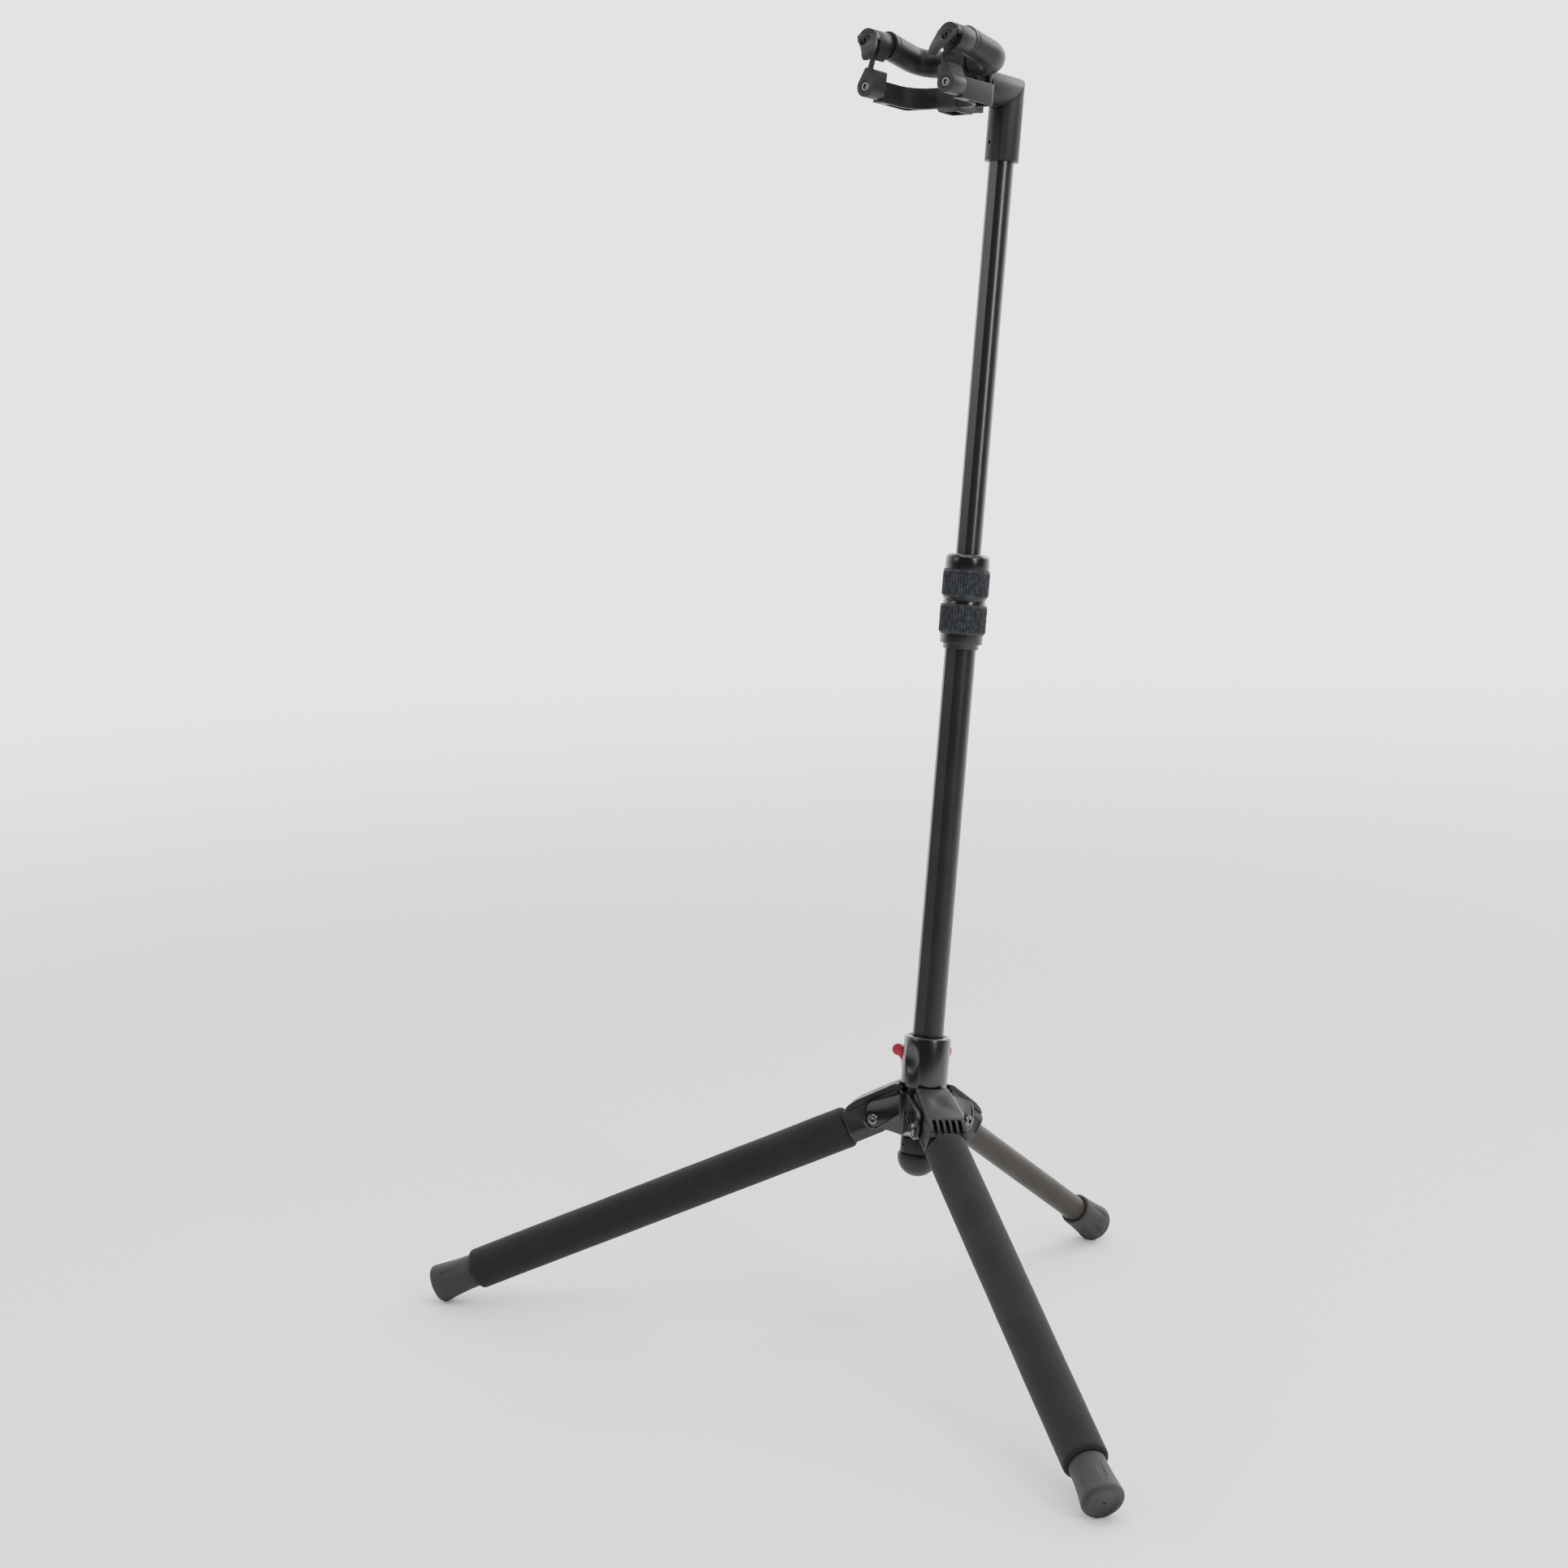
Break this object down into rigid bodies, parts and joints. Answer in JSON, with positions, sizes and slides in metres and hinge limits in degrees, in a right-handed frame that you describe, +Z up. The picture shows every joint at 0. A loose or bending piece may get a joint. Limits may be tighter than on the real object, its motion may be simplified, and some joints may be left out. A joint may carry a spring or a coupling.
{
  "type": "guitar stand",
  "caption": "Folding floor stand for one guitar: tripod legs with foam sleeves, telescopic mast with a twist clutch, and a yoke that closes around the neck.",
  "frame": {"origin": "on the floor, at the centre of the bounding box's footprint", "axes": "+Z up, -Y the front of the stand, where the neck enters the yoke; X across the yoke"},
  "size_m": [0.8398, 0.5765, 1.2233],
  "materials": {
    "powder_coat": "satin black powder coat",
    "dark_plastic": "fine texture, charcoal",
    "dark_steel": "black oxide",
    "foot_rubber": "matte, worn",
    "gloss_cap": "semi-gloss black",
    "grip_rubber": "matte, blue-grey",
    "nylon": "natural",
    "black_cast": "gloss black enamel on die-cast metal",
    "bright_steel": "zinc plated",
    "spring_steel": "drawn wire",
    "red_plastic": "semi-gloss red",
    "foam": "closed-cell foam, fine pores",
    "yoke_rubber": "matte black"
  },
  "bodies": {
    "base": {"lower_tube": "powder_coat", "end_cap": "dark_plastic", "end_cap_screw": "dark_steel", "ball_bumper": "foot_rubber", "clutch_body": "gloss_cap", "lower_grip": "grip_rubber", "collet": "nylon", "hub_body": "black_cast", "collar_bush": "dark_plastic", "leg_bolts": "bright_steel", "leg_nuts": "bright_steel", "lever_pins": "bright_steel", "lever_springs": "spring_steel"},
    "nut": {"clutch_nut": "gloss_cap", "upper_grip": "grip_rubber"},
    "mast": {"upper_tube": "powder_coat", "guide_bush": "nylon", "elbow": "dark_plastic", "elbow_screw": "dark_steel", "head_frame": "dark_plastic", "frame_screws": "dark_steel", "link_screws": "bright_steel", "return_spring": "spring_steel"},
    "yoke": {"yoke_core": "dark_plastic", "slide_block": "dark_plastic", "sleeve_left": "yoke_rubber", "sleeve_right": "yoke_rubber", "claw_screws": "dark_steel"},
    "claw_left": {"claw_left": "dark_plastic"},
    "claw_right": {"claw_right": "dark_plastic"},
    "link_left": {"link_left": "dark_plastic"},
    "link_right": {"link_right": "dark_plastic"},
    "leg_left": {"leg_head_left": "dark_plastic", "head_cover_left": "dark_plastic", "leg_tube_left": "powder_coat", "foam_sleeve_left": "foam", "foot_left": "foot_rubber"},
    "leg_right": {"leg_head_right": "dark_plastic", "head_cover_right": "dark_plastic", "leg_tube_right": "powder_coat", "foam_sleeve_right": "foam", "foot_right": "foot_rubber"},
    "leg_rear": {"leg_head_rear": "dark_plastic", "head_cover_rear": "dark_plastic", "leg_tube_rear": "powder_coat", "foot_rear": "foot_rubber"},
    "release_left": {"release_lever_left": "red_plastic"},
    "release_rear": {"release_lever_rear": "red_plastic"}
  },
  "joints": [
    {"name": "mast_slide", "type": "slide", "parent": "base", "child": "mast", "axis": [0, 0.1582, 0.9874], "range_m": [-0.36, 0.04]},
    {"name": "clutch_turn", "type": "hinge", "parent": "base", "child": "nut", "pos_m": [0, 0.07763, 0.71286], "axis": [0, 0.1582, 0.9874], "range_deg": [0, 120]},
    {"name": "leg_left_fold", "type": "hinge", "parent": "base", "child": "leg_left", "pos_m": [-0.03694, -0.02599, 0.20079], "axis": [0.5, -0.8551, 0.137], "range_deg": [0, 62]},
    {"name": "leg_right_fold", "type": "hinge", "parent": "base", "child": "leg_right", "pos_m": [0.03694, -0.02599, 0.20079], "axis": [0.5, 0.8551, -0.137], "range_deg": [0, 62]},
    {"name": "leg_rear_fold", "type": "hinge", "parent": "base", "child": "leg_rear", "pos_m": [0, 0.03719, 0.19067], "axis": [-1, 0, 0], "range_deg": [0, 62]},
    {"name": "release_left_press", "type": "hinge", "parent": "base", "child": "release_left", "pos_m": [-0.01826, -0.00312, 0.24626], "axis": [0.309, -0.9391, 0.1504], "range_deg": [0, 12], "stiffness_Nm_per_rad": 0.05, "springref_deg": -10},
    {"name": "release_rear_press", "type": "hinge", "parent": "base", "child": "release_rear", "pos_m": [0.00067, 0.02169, 0.24229], "axis": [-0.9994, 0.0345, -0.0055], "range_deg": [0, 12], "stiffness_Nm_per_rad": 0.05, "springref_deg": -10},
    {"name": "yoke_drop", "type": "slide", "parent": "mast", "child": "yoke", "axis": [0, -0.1582, -0.9874], "range_m": [0, 0.012], "stiffness_N_per_m": 900, "springref_m": -0.008, "deforming": ["return_spring"]},
    {"name": "claw_left_close", "type": "hinge", "parent": "yoke", "child": "claw_left", "pos_m": [-0.0475, 0.01546, 1.20995], "axis": [0, -0.9874, 0.1582], "range_deg": [0, 44.5]},
    {"name": "claw_right_close", "type": "hinge", "parent": "yoke", "child": "claw_right", "pos_m": [0.0475, 0.01546, 1.20995], "axis": [0, 0.9874, -0.1582], "range_deg": [0, 44.5]},
    {"name": "link_left_turn", "type": "hinge", "parent": "mast", "child": "link_left", "pos_m": [-0.047, 0.00898, 1.16946], "axis": [0, 0.9874, -0.1582], "range_deg": [0, 37.5]},
    {"name": "link_right_turn", "type": "hinge", "parent": "mast", "child": "link_right", "pos_m": [0.047, 0.00898, 1.16946], "axis": [0, -0.9874, 0.1582], "range_deg": [0, 37.5]}
  ],
  "couplings": [
    {"joint": "claw_left_close", "follows": "yoke_drop", "rad_per_m": 64},
    {"joint": "claw_right_close", "follows": "yoke_drop", "rad_per_m": 64},
    {"joint": "link_left_turn", "follows": "yoke_drop", "rad_per_m": 53.8},
    {"joint": "link_right_turn", "follows": "yoke_drop", "rad_per_m": 53.8}
  ]
}
